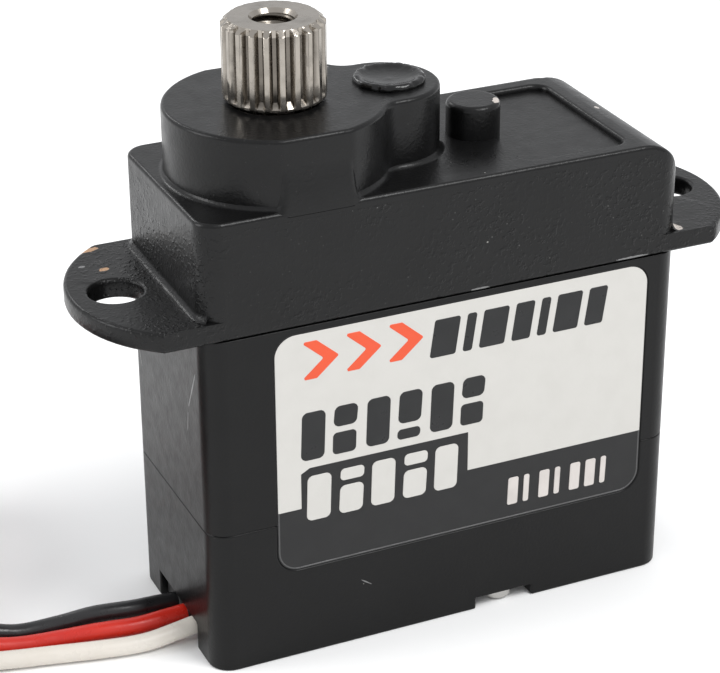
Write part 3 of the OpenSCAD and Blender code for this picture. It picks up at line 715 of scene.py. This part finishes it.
def label():
    """Printed label: an off-white field over a charcoal band, with plain shapes where lettering would be."""
    lo, hi = box("label")
    face = lo.y
    corners = [(lo.x, lo.z), (hi.x, lo.z), (hi.x, hi.z), (lo.x, hi.z)]
    edge, line, band_z = 0.06, 0.07, 8.1
    backing = moulded("label_backing", (0.012, 0.012, 0.0125), 0.36, 0.003, (0.018, 0.018, 0.0185),
                      IOR=1.38)
    paper = moulded("label_paper", (0.57, 0.557, 0.526), 0.42, 0.004, (0.525, 0.512, 0.481))
    ink = moulded("label_ink", (0.012, 0.0125, 0.013), 0.35, 0.003, (0.02, 0.02, 0.021), IOR=1.38)
    red = moulded("label_red", (0.72, 0.075, 0.018), 0.38, 0.003, (0.66, 0.065, 0.016))
    grey = moulded("label_outline", (0.07, 0.07, 0.07), 0.4, 0.003)
    silver = moulded("label_silver", (0.6, 0.56, 0.53), 0.4, 0.003)

    def mark(name, outlines, rise, look):
        plates(name, outlines, face + 0.04 - rise, 0.05, "case", "label_vinyl", look, edge=0.012)

    def frame_line(inset, radius):
        pairs = zip(corners, ((1, 1), (-1, 1), (-1, -1), (1, -1)))
        return round_corners([(x + s * inset, z + t * inset) for (x, z), (s, t) in pairs], radius, 10)

    plates("label_sheet", [round_corners(corners, 1.1, 10)], face + 0.04, 0.1, "case", "label_vinyl", backing,
           replaces=("label",))
    outer, inner = frame_line(edge, 1.05), frame_line(edge + line, 0.98)
    strips = [[outer[i], outer[(i + 1) % len(outer)], inner[(i + 1) % len(outer)], inner[i]]
              for i in range(len(outer)) if min(outer[i].y, outer[(i + 1) % len(outer)].y) < band_z]
    mark("label_outline", strips, 0.012, grey)

    left, right, high = lo.x + edge, hi.x - edge, hi.z - edge
    tab_left, tab_right, tab_z = lo.x + 1.25, lo.x + 9.95, 10.2
    low_side = round_corners([(left, band_z), (tab_left, band_z), (tab_left, tab_z - 0.25),
                              (tab_left + 0.45, tab_z), (tab_right, tab_z), (tab_right, band_z),
                              (right, band_z), (right, high), (left, high)], 0.03, 3)
    high_side = round_corners([(left, band_z), (right, band_z), (right, high), (left, high)], 1.02, 10)
    field = [p for p in low_side if p.y < hi.z - 0.5] + [p for p in high_side if p.y > hi.z - 1.2]
    mark("label_field", [field], 0.02, paper)
    return paper, ink, red, silver, mark


def slanted(x, z, w, h, lean):
    """A bar that leans to the right by that much."""
    return [(x, z), (x + w, z), (x + w + lean, z + h), (x + lean, z + h)]


def chevron(x, z, w, h, stroke):
    """An arrow head that points along the label."""
    return [(x, z), (x + stroke, z), (x + w, z + h / 2), (x + stroke, z + h), (x, z + h),
            (x + w - stroke, z + h / 2)]


def label_marks():
    """Arrows, bars and blocks on the label, where the real one is printed."""
    paper, ink, red, silver, mark = label()
    left = box("label")[0].x
    rise = 0.032
    heads = [round_corners(chevron(left + 1.35 + 2.15 * i, 14.85, 1.9, 1.95, 0.78), 0.08, 3)
             for i in range(3)]
    mark("label_arrows_red", heads, rise, red)
    bars = []
    x = left + 7.85
    for w in (1.35, 0.5, 1.35, 1.0, 0.5, 1.35, 1.0):
        bars.append(round_corners(slanted(x, 14.6, w, 1.95, 0.28), 0.14, 4))
        x += w + 0.36
    mark("label_bars_dark", bars, rise, ink)
    pitch = 1.66
    blocks = []
    foot, head = 10.62, 13.15
    for i, cut in enumerate((0.0, 1.45, 0.0, 0.85, 0.0, 1.45)):
        x = left + 1.25 + pitch * i
        low = foot + cut
        blocks.append(round_corners(slanted(x, low, 1.2, head - low, 0.1), 0.3, 4))
        if cut:
            blocks.append(round_corners(slanted(x - 0.05, foot, 1.2, low - foot - 0.3, 0.04), 0.22, 4))
    mark("label_blocks_dark", blocks, rise, ink)
    whites = []
    foot, full, gap = 7.35, 2.4, 0.28
    for i, tall in enumerate((full, 1.5, full, 1.5, full)):
        x = left + 1.5 + pitch * i
        whites.append(round_corners(slanted(x, foot, 1.22, tall, 0.08), 0.28, 4))
        if tall < full:
            dot = slanted(x + 0.08, foot + tall + gap, 1.22, full - tall - gap, 0.04)
            whites.append(round_corners(dot, 0.2, 4))
    mark("label_blocks_white", whites, rise, paper)
    dashes = [round_corners(slanted(left + 12.15 + 0.86 * i, 5.6, w, 1.5, 0.05), 0.1, 3)
              for i, w in enumerate((0.56, 0.3, 0.56, 0.3, 0.56, 0.56, 0.3))]
    mark("label_dashes", dashes, rise, silver)


label_marks()

# ---------------------------------------------------------------- output shaft

TOOTH_H = 0.34


def splined_shaft():
    """Shaft with rounded spline teeth, bevelled at both ends, over a smooth journal and tail."""
    lo, hi = box("output_shaft")
    centre = middle("output_shaft")
    base, top = 26.8, hi.z
    tail_r, journal_r, journal_z = 1.0, 2.0, 22.5
    tip, edge, teeth = (hi.x - lo.x) / 2, 0.3, 21
    run_out, filled_root = 0.14, 0.72
    root = tip - TOOTH_H
    shares = ((-0.5, 0.0), (-0.36, 0.03), (-0.31, 0.16), (-0.2, 0.86), (-0.15, 0.98), (0.0, 1.0),
              (0.15, 0.98), (0.2, 0.86), (0.31, 0.16), (0.36, 0.03))
    count = teeth * len(shares)

    def tooth_ring(limit, z, filled=0.0):
        ring = []
        for k in range(teeth):
            for share, height in shares:
                angle = 2 * math.pi * (k + share) / teeth
                r = min(root + (tip - root) * max(height, filled), limit)
                ring.append((centre.x + r * math.cos(angle), centre.y + r * math.sin(angle), z))
        return ring

    rows = [(0.05, lo.z), (tail_r - 0.1, lo.z), (tail_r, lo.z + 0.1), (tail_r, journal_z),
            (journal_r - 0.05, journal_z), (journal_r, journal_z + 0.05), (journal_r, base - 0.02),
            (1.5, base)]
    rings = [tooth_ring(r, z) for r, z in rows]
    for step in range(5):
        share = step / 4
        rings.append(tooth_ring(tip - run_out * (1 - share) ** 2, base + run_out * share, filled_root))
    for step in range(1, 5):
        rings.append(tooth_ring(tip, base + run_out + 0.28 * step / 4, filled_root * (1 - step / 4)))
    for step in range(7):
        share = step / 6
        rings.append(tooth_ring(tip - edge * 1.05 * share, top - edge * 0.9 * (1 - share)))
    rings += [tooth_ring(r, top) for r in (1.9, 1.6, 1.3, 1.12)]
    rings += [tooth_ring(1.1, top - 0.03), tooth_ring(0.97, top - 0.2)]
    verts = [p for ring in rings for p in ring]
    faces = ring_faces(len(rings), count)
    faces.append(tuple(range(count - 1, -1, -1)))
    piece("splined_shaft", verts, faces, "output", "shaft_steel", shaft_look,
          replaces=("output_shaft",), sharp=32)


def screw_thread():
    """Wall of the horn screw's hole: a helical thread down to a plain, flat end."""
    hi = box("output_shaft")[1]
    centre = middle("output_shaft")
    pitch, steps, depth = 0.4, 48, 5.9
    per_turn = 10
    levels = int((depth - 0.19) / pitch * per_turn)
    verts = []
    for i in range(levels + 1):
        z = hi.z - 0.19 - i * pitch / per_turn
        for k in range(steps):
            share = (i / per_turn + k / steps) % 1
            ridge = max(0.0, 1 - abs(share - 0.5) * 3.2)
            r = 0.99 - 0.15 * ridge * min(1, i / per_turn)
            angle = 2 * math.pi * k / steps
            verts.append((centre.x + r * math.cos(angle), centre.y + r * math.sin(angle), z))
    faces = ring_faces(levels + 1, steps)
    faces.append(tuple(range(levels * steps, (levels + 1) * steps)))
    # The thread's steel is much darker than the shaft's.
    thread_look = bare_metal("dark_thread_steel", (0.16, 0.145, 0.125), 0.3, streak=(4, 4, 4))
    piece("horn_screw_thread", verts, faces, "output", "shaft_steel", thread_look, sharp=50)


def spline_steel():
    """Nickel-coloured steel, with painted shade darkening it down in the grooves between the teeth."""
    look = metal("nickel_steel", (0.36, 0.33, 0.292), 0.21, streak=(5, 5, 0.6), depth=0.008)
    lo, hi = box("output_shaft")
    level = look.math("MULTIPLY", look.place, (1, 1, 0), vector=True)
    reach = look.math("DISTANCE", level, (SHAFT.x, SHAFT.y, 0), vector=True)
    tip = (hi.x - lo.x) / 2
    in_groove = look.math("MULTIPLY_ADD", reach, -1 / TOOTH_H, tip / TOOTH_H)
    height = look.nodes.new("ShaderNodeSeparateXYZ")
    look.links.new(look.place, height.inputs["Vector"])
    below_top = look.math("LESS_THAN", height.outputs["Z"], hi.z - 0.35)
    # Painted shade: the grooves between the teeth are tinted darker, up to just below the bevelled top.
    painted_groove_shade = look.math("MULTIPLY", look.ramp(in_groove, (0.15, 0.0), (0.7, 0.75)), below_top)
    look.tint(painted_groove_shade, (0.1, 0.088, 0.075))
    return look.material


shaft_look = spline_steel()
splined_shaft()
screw_thread()

# ---------------------------------------------------------------- inside the case

dress(bare_metal("cut_brass", (0.78, 0.56, 0.24), 0.28, streak=(9, 9, 1)), "first_gear", "second_gear",
      "third_gear", "output_gear", "motor_pinion")
dress(bare_metal("cut_steel", (0.52, 0.52, 0.53), 0.3, streak=(9, 9, 1)), "fourth_gear")
dress(bare_metal("ground_steel", (0.62, 0.63, 0.64), 0.14, streak=(1, 1, 12)), "bearing_outer_ring",
      "bearing_inner_ring", "bearing_balls", "boss_shaft_pin", "post_shaft_pin", "motor_shaft")
dress(bare_metal("sintered_bronze", (0.6, 0.4, 0.2), 0.45, depth=0.01), "lower_bushing", "motor_bushing")
dress(bare_metal("drawn_can", (0.55, 0.55, 0.56), 0.26, streak=(1, 1, 10)), "motor_can")
dress(bare_metal("magnet_nickel", (0.34, 0.35, 0.37), 0.2), "motor_magnet")
dress(copper_winding("enamelled_copper"), "motor_winding")
dress(moulded("motor_plastic", (0.03, 0.031, 0.035), 0.5), "motor_end_cap")
dress(bare_metal("tinned_copper", (0.62, 0.62, 0.62), 0.3), "motor_terminals", "pot_terminals", "lead_tails")
dress(moulded("pot_plastic", (0.045, 0.05, 0.06), 0.45), "pot_case")
dress(moulded("pot_board", (0.22, 0.1, 0.04), 0.5, 0.008), "pot_base")
dress(moulded("natural_acetal", (0.66, 0.63, 0.55), 0.4, Subsurface_Weight=0.1), "pot_rotor")
dress(board_green("solder_mask"), "circuit_board")
dress(moulded("chip_epoxy", (0.02, 0.02, 0.022), 0.55, 0.008), "control_chip", "driver_chips")
dress(moulded("ceramic_tan", (0.42, 0.25, 0.1), 0.5), "capacitors")
dress(moulded("soft_rubber", (0.012, 0.012, 0.012), 0.6, 0.01), "wire_grommet")
dress(moulded("strap_plastic", (0.02, 0.02, 0.022), 0.5), "lead_tie")
dress(moulded_plastic("connector_black", (0.012, 0.012, 0.013), 0.42, IOR=1.42), "connector_housing")
dress(bare_metal("gold_plate", (0.85, 0.62, 0.25), 0.2), "connector_contacts")
soften("connector_housing", 0.08)
soften("lead_tie", 0.06)
soften("wire_grommet", 0.08)
